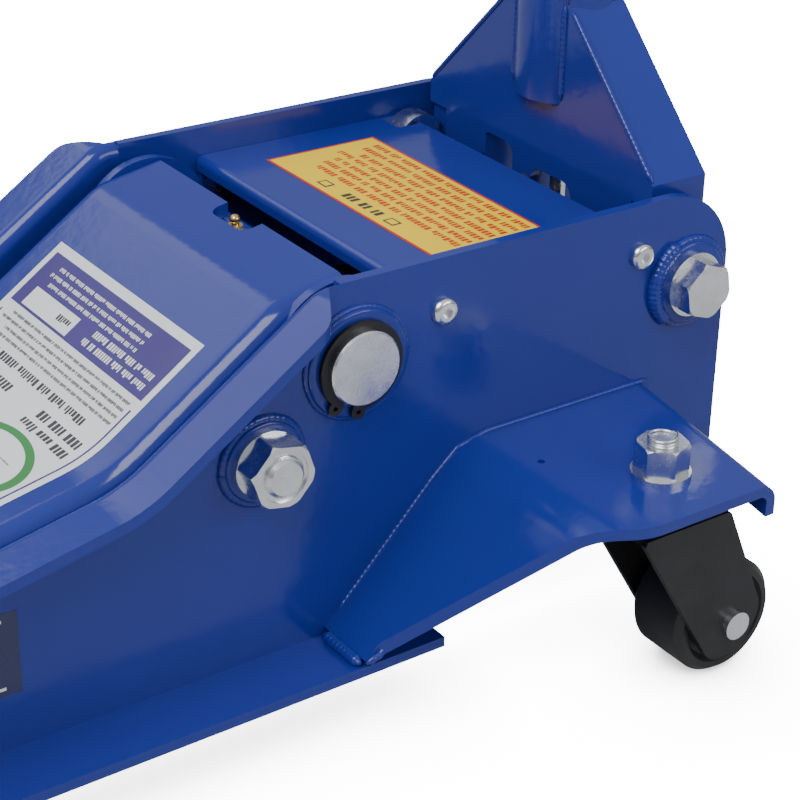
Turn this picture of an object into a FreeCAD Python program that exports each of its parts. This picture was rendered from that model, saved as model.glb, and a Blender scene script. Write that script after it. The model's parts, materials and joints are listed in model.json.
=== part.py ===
import FreeCAD
import Part
import math
import os

# Hydraulic trolley jack, about 2.25 tonne, shown lowered with its handle upright.
# Millimetres, +X to the rear (handle end), +Y to the jack's right, +Z up.
# Every place below is measured from the lift arm's pivot axis, midway between the side plates.
# save() moves each part so that Z = 0 is the floor and X = 0 is the middle of the jack's length.

V = FreeCAD.Vector

# ---- driving dimensions ------------------------------------------------------------------
PIVOT_HEIGHT = 140.0
PIVOT_FROM_MIDDLE = 134.0

PLATE_OUT = 86.0
PLATE_T = 4.5
PLATE_IN = PLATE_OUT - PLATE_T
PLATE_TOP = 33.3
PLATE_REAR = 186.0
PLATE_BOTTOM = -119.5
RAIL_W = 28.0
RAIL_END = 24.0
FLANGE_W = 19.0
FLANGE_FRONT = -372.0
BEND_R = 6.0

SHAFT_R = 15.0
SHAFT_PROUD = 7.5
RUN_GAP = 0.05

ARM_LENGTH = 350.0
ARM_LOWERED_DEG = 12.37
ARM_HALF_W = 75.0
ARM_T = 4.0
ARM_PIN = V(
    -ARM_LENGTH * math.cos(math.radians(ARM_LOWERED_DEG)),
    0,
    -ARM_LENGTH * math.sin(math.radians(ARM_LOWERED_DEG)),
)
ARM_PIN_R = 9.0
NOTCH_X = -4.5
NOTCH_HALF_W = 13.0

LINK_STUD = V(-41.0, 0, -29.0)
LINK_R = 8.0
LINK_Y = 60.0
LINK_T = 8.0
BRACKET_PIN = ARM_PIN + LINK_STUD

LEVER_R = 52.0
LEVER_SWING_DEG = 35.7
LEVER_PIN_R = 8.0
LEVER_PIN = V(
    LEVER_R * math.sin(math.radians(LEVER_SWING_DEG)),
    0,
    -LEVER_R * math.cos(math.radians(LEVER_SWING_DEG)),
)

RAM_Z = -47.0
BORE_R = 17.0
ROD_R = 12.0
TANK_R = 38.0
TANK_FRONT = 52.0
BLOCK_FRONT = 96.0
BLOCK_REAR = 138.0
BLOCK_BOTTOM = -78.0
BLOCK_TOP = 3.0
BLOCK_HALF_W = 38.0

COVER_FRONT = 29.0
COVER_REAR = 136.0
COVER_TOP = 21.0
COVER_T = 2.0
SCREW_X = (39.4, 137.8)
SCREW_Z = 11.3
STOP_X = SCREW_X[1]
STOP_R = 12.5
STOP_INNER_Y = 68.0

YOKE_PIVOT = V(164.5, 0, -6.0)
YOKE_BOLT_R = 7.0
YOKE_HALF_W = 77.5
YOKE_FRONT = 149.0
YOKE_REAR = 178.0
YOKE_T = 5.0
YOKE_SHOULDER_Z = 36.0
WEB_BOTTOM = -2.0
WEB_NOTCHES = ((15.0, 37.5, 24.5), (-26.0, 2.0, 19.0))
VALVE_SLOT_HALF = 7.5
SOCKET_X = 163.0
SOCKET_R = 21.0
SOCKET_BORE_R = 17.0
SOCKET_BOTTOM = 52.0
SOCKET_TOP = 175.0

ROLLER_ARM = 18.0
ROLLER_HALF_DEG = 27.0
ROLLER_R = 6.0
PUMP_Y = 24.0
PUMP_R = 6.0
ROLLER = YOKE_PIVOT + V(
    ROLLER_ARM * math.sin(math.radians(ROLLER_HALF_DEG)),
    PUMP_Y,
    -ROLLER_ARM * math.cos(math.radians(ROLLER_HALF_DEG)),
)
PUMP_Z = ROLLER.z

HANDLE_R = 16.0
HANDLE_T = 2.0
HANDLE_BOTTOM = 60.0
HANDLE_JOINT = 470.0
HANDLE_TOP = 860.0

SHELF_Z = -47.0
SHELF_T = 4.5
SHELF_REAR = 147.0
SHELF_REAR_OUT = 131.0
SHELF_FRONT = 50.0
BRACKET_OUT = 181.0
BRACKET_LIP = 14.0
CASTER_X = 97.5
CASTER_Y = 151.0
CASTER_TRAIL = 28.0
CASTER_WHEEL_R = 25.0
CASTER_WHEEL_W = 30.0
CASTER_PIN_Z = CASTER_WHEEL_R - PIVOT_HEIGHT
FORK_INNER = CASTER_WHEEL_W / 2 + 1.6
FORK_OUTER = FORK_INNER + 3.0

AXLE_X = -420.0
WHEEL_R = 40.0
WHEEL_W = 36.0
AXLE_Z = WHEEL_R - PIVOT_HEIGHT
AXLE_R = 10.0
WHEEL_IN = PLATE_OUT + 5.0

SADDLE_TOP = 110.0 - PIVOT_HEIGHT
SADDLE_X = ARM_PIN.x - 22.0

X, Y, Z = V(1, 0, 0), V(0, 1, 0), V(0, 0, 1)


# ---- helpers -----------------------------------------------------------------------------
def save(name, *solids):
    """Write one node, moved from the pivot's frame to the row frame."""
    shape = solids[0] if len(solids) == 1 else Part.makeCompound(list(solids))
    moved = shape.copy()
    moved.translate(V(PIVOT_FROM_MIDDLE, 0, PIVOT_HEIGHT))
    moved.exportStep(f"parts/{name}.step")


def cylinder(radius, start, direction, length):
    return Part.makeCylinder(radius, length, start, direction)


def tube(outer, inner, start, direction, length):
    return cylinder(outer, start, direction, length).cut(
        cylinder(inner, start - direction, direction, length + 2)
    )


def cross_pin(radius, x, z, y0, y1):
    """A round bar along Y."""
    return cylinder(radius, V(x, y0, z), Y, y1 - y0)


def cross_ring(outer, inner, x, z, y0, y1):
    return cross_pin(outer, x, z, y0, y1).cut(cross_pin(inner, x, z, y0 - 1, y1 + 1))


def block(x0, x1, y0, y1, z0, z1):
    return Part.makeBox(x1 - x0, y1 - y0, z1 - z0, V(x0, y0, z0))


def hexagon(across_flats, start, direction, length, turn=0.0):
    """A hexagonal prism with its corners turned down at both ends."""
    radius = across_flats / math.sqrt(3)
    side = X if abs(direction.x) < 0.9 else Y
    other = direction.cross(side)
    corners = []
    for i in range(7):
        angle = math.radians(60 * i + turn)
        corner = side * (radius * math.cos(angle)) + other * (radius * math.sin(angle))
        corners.append(start + corner)
    prism = Part.Face(Part.makePolygon(corners)).extrude(direction * length)
    barrel = cylinder(radius + 0.01, start, direction, length)
    edges = [e for e in barrel.Edges if isinstance(e.Curve, Part.Circle)]
    return prism.common(barrel.makeChamfer(0.084 * radius, edges))


def rounded_wire(points, closed, plane_y=0.0):
    """Lines through (x, z, radius) points, with an arc of that radius at each corner."""
    edges = []
    count = len(points)
    vectors = [V(p[0], plane_y, p[1]) for p in points]
    ends = []
    for i in range(count):
        radius = points[i][2] if len(points[i]) > 2 else 0.0
        if radius <= 0 or (not closed and i in (0, count - 1)):
            ends.append((vectors[i], vectors[i]))
            continue
        before = (vectors[i - 1] - vectors[i]).normalize()
        after = (vectors[(i + 1) % count] - vectors[i]).normalize()
        half = before.getAngle(after) / 2
        reach = radius / math.tan(half)
        start, end = vectors[i] + before * reach, vectors[i] + after * reach
        middle_way = (before + after).normalize()
        middle = vectors[i] + middle_way * (radius / math.sin(half) - radius)
        edges.append((i, Part.Arc(start, middle, end).toShape()))
        ends.append((start, end))
    arcs = dict(edges)
    ordered = []
    for i in range(count):
        if i in arcs:
            ordered.append(arcs[i])
        if i == count - 1 and not closed:
            break
        a, b = ends[i][1], ends[(i + 1) % count][0]
        if (b - a).Length > 1e-6:
            ordered.append(Part.LineSegment(a, b).toShape())
    return Part.Wire(ordered)


def side_prism(points, y0, y1):
    """A rounded outline in the XZ plane, extruded along Y."""
    return Part.Face(rounded_wire(points, True, y0)).extrude(V(0, y1 - y0, 0))


def plan_prism(points, z0, z1):
    """A straight-sided outline in the XY plane, extruded along Z."""
    corners = [V(x, y, z0) for x, y in points]
    return Part.Face(Part.makePolygon(corners + corners[:1])).extrude(V(0, 0, z1 - z0))


def offset_path(points, distance):
    """The path moved sideways by distance (to its left), with its corner radii adjusted."""
    moved = []
    count = len(points)
    for i, (x, z, radius) in enumerate(points):
        here = V(x, 0, z)
        before = (here - V(points[i - 1][0], 0, points[i - 1][1])) if i else None
        after = (V(points[i + 1][0], 0, points[i + 1][1]) - here) if i < count - 1 else None
        first = (before or after).normalize()
        last = (after or before).normalize()
        left_first, left_last = V(-first.z, 0, first.x), V(-last.z, 0, last.x)
        between = (left_first + left_last).normalize()
        shift = distance / between.dot(left_first)
        turn = first.x * last.z - first.z * last.x
        new_radius = radius - distance if turn > 0 else radius + distance
        moved.append((x + between.x * shift, z + between.z * shift, max(new_radius, 0.01) if radius else 0))
    return moved


def bent_sheet(points, thickness, y0, y1):
    """A sheet that lies to the left of a path of (x, z, radius) corners, extruded along Y."""
    inner = offset_path(points, thickness)
    return side_prism([*points, *reversed(inner)], y0, y1)


def fillet_where(shape, radius, test):
    edges = [e for e in shape.Edges if test(e)]
    return shape.makeFillet(radius, edges) if edges else shape


def along_y(edge, least):
    box = edge.BoundBox
    return box.YLength > least and box.XLength < 0.01 and box.ZLength < 0.01


def mirrored(shape):
    return shape.mirror(V(0, 0, 0), Y)


def both_sides(shape):
    return [shape, mirrored(shape)]


def circlip(shaft_r, x, z, y0, thickness, gap_deg):
    """External circlip: a ring with an opening at gap_deg and two drilled ears beside it."""
    ring = cross_ring(shaft_r * 1.2, shaft_r * 0.95, x, z, y0, y0 + thickness)
    opening = block(0, shaft_r * 2, -1, thickness + 1, -shaft_r * 0.16, shaft_r * 0.16)
    opening.rotate(V(0, 0, 0), Y, -gap_deg)
    opening.translate(V(x, y0, z))
    clip = ring.cut(opening)
    for side in (-1, 1):
        angle = math.radians(gap_deg + side * 17)
        ear_x = x + 1.24 * shaft_r * math.cos(angle)
        ear_z = z + 1.24 * shaft_r * math.sin(angle)
        ear = cross_ring(shaft_r * 0.2, shaft_r * 0.07, ear_x, ear_z, y0, y0 + thickness)
        clip = clip.fuse(ear).removeSplitter()
    return clip


# ---- the chassis -------------------------------------------------------------------------
# The side plate's top edge: level over the power unit, then falling beside the lift arm.
TOP_CURVE = [
    (-16.0, PLATE_TOP, 16.0),
    (-98.0, -23.0, 55.0),
    (-165.0, -37.0, 160.0),
    (FLANGE_FRONT, -50.0, 0.0),
]


def rail_bend_waste():
    """What rounding the fold of the bottom rail takes away."""
    corner = block(FLANGE_FRONT, RAIL_END, PLATE_IN, PLATE_IN + BEND_R, PLATE_BOTTOM, PLATE_BOTTOM + BEND_R)
    fold_axis = V(FLANGE_FRONT, PLATE_IN + BEND_R, PLATE_BOTTOM + BEND_R)
    return corner.cut(cylinder(BEND_R, fold_axis, X, RAIL_END - FLANGE_FRONT))


def flange_bend_waste(path):
    """What rounding the fold of the top flange takes away."""
    band = bent_sheet(path, BEND_R * 2, PLATE_IN, PLATE_OUT + FLANGE_W)

    def on_fold(edge):
        box = edge.BoundBox
        if box.YLength > 0.01 or abs(box.YMin - PLATE_IN) > 0.01:
            return False
        middle = edge.valueAt((edge.FirstParameter + edge.LastParameter) / 2)
        return box.XLength > 3 and band.isInside(middle + V(0, 1, -1), 0.01, True)

    return band.cut(fillet_where(band, BEND_R, on_fold))


def side_plate():
    """One chassis side: a pressed plate with an outward top flange and an outward bottom rail."""
    outline = [
        (PLATE_REAR, PLATE_TOP, 34.0),
        *TOP_CURVE,
        (AXLE_X - 22, -66.0, 30.0),
        (AXLE_X - 22, PLATE_BOTTOM + 3, 22.0),
        (FLANGE_FRONT, PLATE_BOTTOM, 10.0),
        (110.0, PLATE_BOTTOM, 60.0),
        (PLATE_REAR, PLATE_BOTTOM + 16, 22.0),
    ]
    plate = side_prism(outline, PLATE_IN, PLATE_OUT)
    flange_path = [(TOP_CURVE[0][0] + 9, PLATE_TOP, 0.0), *TOP_CURVE]
    flange = bent_sheet(flange_path, PLATE_T, PLATE_IN, PLATE_OUT + FLANGE_W)
    end_x = TOP_CURVE[0][0] - 7
    keep = plan_prism(
        [(-500, PLATE_IN - 1), (-500, PLATE_OUT + FLANGE_W), (end_x, PLATE_OUT + FLANGE_W),
         (end_x + 11, PLATE_OUT), (end_x + 11, PLATE_IN - 1)],
        -200, 200,
    )
    keep = fillet_where(keep, 7.0, lambda e: e.BoundBox.ZLength > 300 and abs(e.BoundBox.XMin - end_x) < 0.1)
    flange = flange.common(keep)
    rail = block(FLANGE_FRONT, RAIL_END, PLATE_IN, PLATE_OUT + RAIL_W, PLATE_BOTTOM, PLATE_BOTTOM + PLATE_T)
    shape = plate.fuse([flange, rail]).removeSplitter()
    shape = shape.cut(rail_bend_waste()).cut(flange_bend_waste(flange_path))
    for x, z, radius in (
        (0, 0, SHAFT_R),
        (LINK_STUD.x, LINK_STUD.z, LINK_R),
        (YOKE_PIVOT.x, YOKE_PIVOT.z, YOKE_BOLT_R),
        (AXLE_X, AXLE_Z, AXLE_R),
        (SCREW_X[0], SCREW_Z, 3.0),
        (SCREW_X[1], SCREW_Z, 3.0),
    ):
        shape = shape.cut(cross_pin(radius, x, z, PLATE_IN - 1, PLATE_OUT + 1))
    return shape


def caster_bracket():
    """The bent wing that carries a caster: rear lip, level shelf and a ramp down to the rail."""
    y0, y1 = PLATE_OUT, BRACKET_OUT
    ramp_foot_x, ramp_foot_z = -14.0, PLATE_BOTTOM + PLATE_T + 3.3
    path = [
        (SHELF_REAR + 10, SHELF_Z, 0.0),
        (SHELF_FRONT, SHELF_Z, 26.0),
        (ramp_foot_x, ramp_foot_z, 0.0),
    ]
    sheet = bent_sheet(path, SHELF_T, y0, y1)
    narrow = PLATE_OUT + RAIL_W + 1
    fold = 8.0
    outline = plan_prism(
        [
            (ramp_foot_x - 20, y0), (ramp_foot_x - 20, narrow), (ramp_foot_x + 6, narrow),
            (SHELF_FRONT + 14, y1), (SHELF_REAR_OUT - fold, y1), (SHELF_REAR - fold, y0),
        ],
        -200, 100,
    )

    def outer_corner(edge):
        return edge.BoundBox.ZLength > 200 and abs(edge.BoundBox.XMin - SHELF_FRONT - 14) < 0.1

    shape = sheet.common(fillet_where(outline, 26.0, outer_corner))
    slant = math.atan2(SHELF_REAR - SHELF_REAR_OUT, y1 - y0)
    lip_path = [(0.0, -BRACKET_LIP, 0.0), (0.0, 0.0, fold), (-fold - 4, 0.0, 0.0)]
    lip = bent_sheet(lip_path, SHELF_T, -20, 130)
    lip.rotate(V(0, 0, 0), Z, math.degrees(slant))
    lip.translate(V(SHELF_REAR, y0, SHELF_Z))
    lip = lip.common(block(-50, 250, y0, y1, -100, 0))
    shape = shape.fuse(lip).removeSplitter()
    shape = shape.cut(cylinder(6.0, V(CASTER_X, CASTER_Y, SHELF_Z - 20), Z, 40))
    return shape.cut(cylinder(1.5, V(65.0, 118.0, SHELF_Z - 30), Z, 60))


def weld_bosses():
    """Painted rings welded outside each plate: main shaft, link stud and yoke bolt."""
    rings = []
    for x, z, outer, inner, length in (
        (0, 0, 22.0, SHAFT_R, 2.5),
        (LINK_STUD.x, LINK_STUD.z, 16.5, LINK_R, 3.0),
        (YOKE_PIVOT.x, YOKE_PIVOT.z, 18.0, YOKE_BOLT_R, 3.0),
    ):
        ring = cross_ring(outer, inner, x, z, PLATE_OUT, PLATE_OUT + length)
        ring = fillet_where(ring, 1.5, lambda e, o=outer, n=length: abs(e.Length - 2 * math.pi * o) < 0.1
                            and e.BoundBox.YMin > PLATE_OUT + n - 0.1)
        rings += both_sides(ring)
    return rings


def chassis():
    left = mirrored(side_plate())
    save("side_plate_left", left)
    save("side_plate_right", mirrored(left))
    bracket = caster_bracket()
    save("caster_bracket_left", mirrored(bracket))
    save("caster_bracket_right", bracket)
    save("weld_bosses", *weld_bosses())

    base = block(BLOCK_FRONT + 2, 170, -PLATE_IN, PLATE_IN, BLOCK_BOTTOM - 6, BLOCK_BOTTOM)
    for x in (BLOCK_FRONT + 12, BLOCK_REAR - 10):
        for y in (-26, 26):
            base = base.cut(cylinder(4.0, V(x, y, BLOCK_BOTTOM - 8), Z, 10))
    save("base_plate", base)

    tie = block(-300, -240, -PLATE_IN, PLATE_IN, PLATE_BOTTOM, PLATE_BOTTOM + 5)
    save("front_cross_plate", tie)

    save("front_axle", cross_pin(AXLE_R, AXLE_X, AXLE_Z, -WHEEL_IN - WHEEL_W - 16, WHEEL_IN + WHEEL_W + 16))
    outside = WHEEL_IN + WHEEL_W + 1
    washer = cross_ring(17, AXLE_R, AXLE_X, AXLE_Z, outside, outside + 2.5)
    inner_washer = cross_ring(16, AXLE_R, AXLE_X, AXLE_Z, PLATE_OUT, PLATE_OUT + 3.5)
    nut = hexagon(30, V(AXLE_X, outside + 2.5, AXLE_Z), Y, 11).cut(
        cross_pin(AXLE_R, AXLE_X, AXLE_Z, outside, outside + 20)
    )
    save("front_axle_nuts", *both_sides(nut), *both_sides(washer), *both_sides(inner_washer))


# ---- the main shaft and other pivots fixed to the chassis ---------------------------------
def main_shaft():
    end = PLATE_OUT + SHAFT_PROUD
    shaft = cross_pin(SHAFT_R, 0, 0, -end, end)
    groove_y = PLATE_OUT + 2.7
    for y0 in (groove_y, -groove_y - 1.8):
        shaft = shaft.cut(cross_ring(SHAFT_R + 1, SHAFT_R * 0.95, 0, 0, y0, y0 + 1.8))
    edges = [e for e in shaft.Edges if abs(e.BoundBox.YMin) > end - 0.01 and isinstance(e.Curve, Part.Circle)]
    save("main_shaft", shaft.makeChamfer(0.7, edges))
    clip = circlip(SHAFT_R, 0, 0, groove_y + 0.1, 1.6, -112)
    save("shaft_circlips", *both_sides(clip))


def link_studs():
    inner = LINK_Y - LINK_T / 2
    outer = PLATE_OUT + 17.5
    shank = cross_pin(LINK_R, LINK_STUD.x, LINK_STUD.z, inner - 0.5, outer)
    collar = cross_ring(9.5, LINK_R, LINK_STUD.x, LINK_STUD.z, LINK_Y + LINK_T / 2 + 0.4, PLATE_IN)
    head = cross_pin(13.0, LINK_STUD.x, LINK_STUD.z, inner - 4.5, inner - 0.5)
    stud = shank.fuse([collar, head]).removeSplitter()
    stud = stud.makeChamfer(1.4, [e for e in stud.Edges if e.BoundBox.YMin > outer - 0.01])
    save("link_studs", *both_sides(stud))
    seat = PLATE_OUT + 3.0
    nut = hexagon(24, V(LINK_STUD.x, seat + 1.5, LINK_STUD.z), Y, 11.5, 12).cut(
        cross_pin(LINK_R, LINK_STUD.x, LINK_STUD.z, seat, seat + 30)
    )
    recess = cross_ring(10.2, LINK_R, LINK_STUD.x, LINK_STUD.z, seat + 12.0, seat + 14.0)
    nut = nut.cut(recess)
    washer = cross_ring(13.5, LINK_R, LINK_STUD.x, LINK_STUD.z, seat, seat + 1.5)
    save("link_nuts", *both_sides(nut), *both_sides(washer))


def yoke_bolts():
    """Stub bolts that screw through each plate's boss and carry the handle yoke."""
    x, z = YOKE_PIVOT.x, YOKE_PIVOT.z
    seat = PLATE_OUT + 3.0
    washer = cross_ring(14.0, YOKE_BOLT_R, x, z, seat, seat + 2.2)
    head = hexagon(22, V(x, seat + 2.2, z), Y, 8.8, 20)
    shank = cross_pin(YOKE_BOLT_R, x, z, YOKE_HALF_W - 14, seat + 2.2)
    save("yoke_bolts", *both_sides(head.fuse(shank).removeSplitter()), *both_sides(washer))


def cover():
    """The folded lid over the power unit, and its four button-head screws, two nuts and two round stop nuts."""
    half = PLATE_IN - 0.3
    top = block(COVER_FRONT, COVER_REAR, -half, half, COVER_TOP - 6.5, COVER_TOP)
    top = top.cut(block(COVER_FRONT + COVER_T, COVER_REAR + 1, -half - 1, half + 1, COVER_TOP - 9, COVER_TOP - COVER_T))
    top = fillet_where(top, 3.4, lambda e: along_y(e, 100) and abs(e.BoundBox.XMin - COVER_FRONT) < 0.01
                       and abs(e.BoundBox.ZMin - COVER_TOP) < 0.01)
    skirt = side_prism(
        [(COVER_FRONT + 1, COVER_TOP - 1, 0), (COVER_FRONT + 1, 0.0, 6), (150.0, 0.0, 6), (150.0, COVER_TOP - 4, 4),
         (COVER_REAR, COVER_TOP - 1, 0)],
        half - COVER_T, half,
    )
    lid = top.fuse(both_sides(skirt)).removeSplitter()
    for x in SCREW_X:
        lid = lid.cut(cross_pin(3.0, x, SCREW_Z, -100, 100))
    for corner in both_sides(block(STOP_X - STOP_R - 2, 160, STOP_INNER_Y - 2, half - COVER_T, 5, 30)):
        lid = lid.cut(corner)
    save("cover_plate", lid)

    screws, nuts = [], []
    for x in SCREW_X:
        head = cross_pin(5.6, x, SCREW_Z, PLATE_OUT, PLATE_OUT + 3.2)
        head = fillet_where(head, 2.2, lambda e: e.BoundBox.YMin > PLATE_OUT + 3.1)
        socket = hexagon(4.0, V(x, PLATE_OUT + 1.4, SCREW_Z), Y, 4)
        shank = cross_pin(3.0, x, SCREW_Z, 68.0, PLATE_OUT)
        screws += both_sides(head.cut(socket).fuse(shank).removeSplitter())
        radius, inner_y = (STOP_R, STOP_INNER_Y) if x == STOP_X else (7.0, 71.0)
        nuts += both_sides(cross_ring(radius, 3.0, x, SCREW_Z, inner_y, half - COVER_T))
    save("cover_screws", *screws)
    save("cover_nuts", *nuts)


# ---- the power unit ----------------------------------------------------------------------
def power_unit():
    ram_axis = V(BLOCK_FRONT, 0, RAM_Z)
    body = block(BLOCK_FRONT, BLOCK_REAR, -BLOCK_HALF_W, BLOCK_HALF_W, BLOCK_BOTTOM, BLOCK_TOP)
    body = body.makeFillet(5.0, [e for e in body.Edges if e.BoundBox.XLength > 30])
    ears = block(BLOCK_FRONT, BLOCK_FRONT + 9, -52, 52, -75, -64)
    body = body.fuse(ears).removeSplitter()
    body = body.cut(cylinder(BORE_R, ram_axis - X, X, 38))
    body = body.cut(cylinder(BORE_R + 5, ram_axis - X, X, 9))
    pump_bore = cylinder(PUMP_R + RUN_GAP, V(100, PUMP_Y, PUMP_Z), X, 60)
    pump_gland = cylinder(12.0, V(BLOCK_REAR - 0.5, PUMP_Y, PUMP_Z), X, 2.0)
    valve_bore = cylinder(5.0 + RUN_GAP, V(118, 0, YOKE_PIVOT.z), X, 40)
    body = body.fuse(pump_gland).removeSplitter().cut(pump_bore).cut(valve_bore)
    for x in (BLOCK_FRONT + 12, BLOCK_REAR - 10):
        for y in (-26, 26):
            body = body.cut(cylinder(4.0, V(x, y, BLOCK_BOTTOM - 1), Z, 15))
    for y in (-46, 46):
        body = body.cut(cylinder(2.5, V(BLOCK_FRONT + 4.5, y, -80), Z, 20))
    save("pump_block", body)

    screws = []
    for x in (BLOCK_FRONT + 12, BLOCK_REAR - 10):
        for y in (-26, 26):
            shank = cylinder(4.0, V(x, y, BLOCK_BOTTOM - 6), Z, 19)
            head = cylinder(6.5, V(x, y, BLOCK_BOTTOM - 14), Z, 8)
            recess = hexagon(6, V(x, y, BLOCK_BOTTOM - 15), Z, 5)
            screws.append(shank.fuse(head).removeSplitter().cut(recess))
    save("block_screws", *screws)

    tank = tube(TANK_R, TANK_R - 3, V(TANK_FRONT, 0, RAM_Z), X, BLOCK_FRONT - TANK_FRONT)
    plug_x = 74.0
    tank_top = RAM_Z + TANK_R
    neck = cylinder(8.0, V(plug_x, 0, tank_top - 2), Z, 4)
    bore = cylinder(5.0, V(plug_x, 0, tank_top - 8), Z, 20)
    save("reservoir_shell", tank.fuse(neck).removeSplitter().cut(bore))
    plug = cylinder(5.0, V(plug_x, 0, tank_top - 3), Z, 6).fuse(cylinder(8.0, V(plug_x, 0, tank_top + 2), Z, 4))
    save("filler_plug", plug.removeSplitter())

    liner = tube(BORE_R + 5, BORE_R, V(TANK_FRONT, 0, RAM_Z), X, BLOCK_FRONT + 8 - TANK_FRONT)
    save("ram_cylinder", liner)
    head = cylinder(TANK_R, V(TANK_FRONT - 8, 0, RAM_Z), X, 8)
    head = head.makeChamfer(1.5, [e for e in head.Edges if e.BoundBox.XMax < TANK_FRONT - 7])
    spigot = cylinder(BORE_R - RUN_GAP, V(TANK_FRONT, 0, RAM_Z), X, 6)
    gland = head.fuse(spigot).cut(cylinder(ROD_R + RUN_GAP, V(0, 0, RAM_Z), X, 100))
    save("gland_nut", gland.removeSplitter())

    piston_x = 121.0
    piston = cylinder(BORE_R - RUN_GAP, V(piston_x, 0, RAM_Z), X, 11.5)
    piston = piston.cut(tube(BORE_R + 1, BORE_R - 2.5, V(piston_x + 4, 0, RAM_Z), X, 3.5))
    rod = cylinder(ROD_R, V(42.0, 0, RAM_Z), X, piston_x - 42.0)
    save("ram_rod", rod.fuse(piston).removeSplitter())
    save("piston_seal", tube(BORE_R - RUN_GAP, BORE_R - 2.5, V(piston_x + 4, 0, RAM_Z), X, 3.5))

    pin_x = LEVER_PIN.x
    cross = block(15.5, 42.0, -12, 12, -74, RAM_Z + 21)
    cross = fillet_where(cross, 4.0, lambda e: along_y(e, 20))
    slot = side_prism(
        [(pin_x - 9.4, RAM_Z - 14.4, 9.2), (pin_x + 9.4, RAM_Z - 14.4, 9.2),
         (pin_x + 9.4, RAM_Z + 14.4, 9.2), (pin_x - 9.4, RAM_Z + 14.4, 9.2)],
        -15, 15,
    )
    bar = cross_pin(3.5, 24.0, -70.0, -50, 50)
    save("crosshead", cross.cut(slot).fuse(bar).removeSplitter())

    springs = []
    for y in (-46, 46):
        springs.append(cylinder(6.0, V(28.5, y, -70.0), X, BLOCK_FRONT - 1 - 28.5))
    save("return_springs", *springs)


def hand_pump():
    """The hand pump's plunger, pushed forwards by the roller on the handle yoke."""
    face = ROLLER.x - ROLLER_R - 0.5
    stem = cylinder(PUMP_R, V(118.0, PUMP_Y, PUMP_Z), X, face - 118.0 - 1)
    head = cylinder(10.0, V(face - 4, PUMP_Y, PUMP_Z), X, 4)
    head = head.makeFillet(1.2, [e for e in head.Edges if e.BoundBox.XMin > face - 0.1])
    save("pump_plunger", stem.fuse(head).removeSplitter())
    coil_start = BLOCK_REAR + 1.8
    coil = tube(9.0, PUMP_R + 0.8, V(coil_start, PUMP_Y, PUMP_Z), X, face - 4.2 - coil_start)
    save("pump_spring", coil)

    spindle = cylinder(5.0, V(120, 0, YOKE_PIVOT.z), X, 32)
    collar = hexagon(13, V(BLOCK_REAR + 1, 0, YOKE_PIVOT.z), X, 7)
    fork_root = cylinder(7.0, V(149.0, 0, YOKE_PIVOT.z), X, 4)
    fork = [block(153, 158, y - 1.5, y + 1.5, YOKE_PIVOT.z - 4, YOKE_PIVOT.z + 4) for y in (-5, 5)]
    save("release_valve", spindle.fuse([collar, fork_root, *fork]).removeSplitter())


# ---- the lift arm ------------------------------------------------------------------------
ARM_TOP = [
    (4.5, 28.5, 0.0),
    (-24.0, 23.2, 26.0),
    (-95.0, -26.5, 55.0),
    (-160.0, -40.3, 160.0),
    (-366.0, -57.0, 12.0),
]


def arm_outline(drop):
    """The arm's side view. A positive drop lowers the top edge, to hollow the channel."""
    top = [(x, z - drop / math.cos(math.radians(20)), max(r - drop, 8.0) if r else 0.0) for x, z, r in ARM_TOP]
    return [
        *top,
        (-366.0, -93.0, 15.0),
        (-300.0, -93.0, 30.0),
        (-120.0, -80.0, 50.0),
        (-84.0, -64.0, 14.0),
        (-70.0, -28.0, 10.0),
        (-28.0, -10.0, 8.0),
        (-16.0, -26.0, 6.0),
        (4.5, -28.5, 0.0),
    ]


def arm_channel():
    w, t = ARM_HALF_W, ARM_T
    outer = side_prism(arm_outline(0.0), -w, w)

    def on_shoulder(edge):
        """The long folded edges where the arm's top meets its sides."""
        box = edge.BoundBox
        if box.YLength > 0.01 or abs(abs(box.YMin) - w) > 0.01 or box.XMax > 5:
            return False
        middle = edge.valueAt((edge.FirstParameter + edge.LastParameter) / 2)
        inward = V(0, -1 if middle.y > 0 else 1, 0)
        return box.XLength > 3 and outer.isInside(middle + inward - Z, 0.01, True) and middle.x > -365

    outer = fillet_where(outer, 9.0, on_shoulder)
    hollow = side_prism([(20.0, 28.5 - t, 0.0), *arm_outline(t)[1:4], (-358.0, -57.0 - t, 8.0), (-358.0, -140.0, 0.0),
                         (20.0, -140.0, 0.0)], -w + t, w - t)
    hollow = fillet_where(hollow, 5.0, lambda e: e.BoundBox.YLength < 0.01 and e.BoundBox.ZMax < 40
                          and e.valueAt((e.FirstParameter + e.LastParameter) / 2).z > -64 and e.BoundBox.XMin < 19
                          and e.BoundBox.ZMin > -70)
    shell = outer.cut(hollow)
    for side in (-1, 1):
        ear = cross_pin(28.9, 0, 0, min(side * w, side * (w - t)), max(side * w, side * (w - t)))
        nose = cross_pin(18.0, ARM_PIN.x, ARM_PIN.z, min(side * w, side * (w - t)), max(side * w, side * (w - t)))
        shell = shell.fuse([ear, nose])
    shell = shell.removeSplitter()
    shell = shell.cut(cross_pin(22.0, 0, 0, -100, 100))
    shell = shell.cut(cross_pin(ARM_PIN_R, ARM_PIN.x, ARM_PIN.z, -100, 100))
    window = plan_prism([(ARM_PIN.x + 24, -56), (-400, -56), (-400, 56), (ARM_PIN.x + 24, 56)], -120, -20)
    notch = block(NOTCH_X, 20, -NOTCH_HALF_W, NOTCH_HALF_W, 15, 60)
    notch = fillet_where(notch, 5.0, lambda e: e.BoundBox.ZLength > 40 and e.BoundBox.XMax < 0)
    rod_way = block(-370, -350, -68, 68, -120, -86)
    return shell.cut(window).cut(notch).cut(rod_way)


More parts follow.
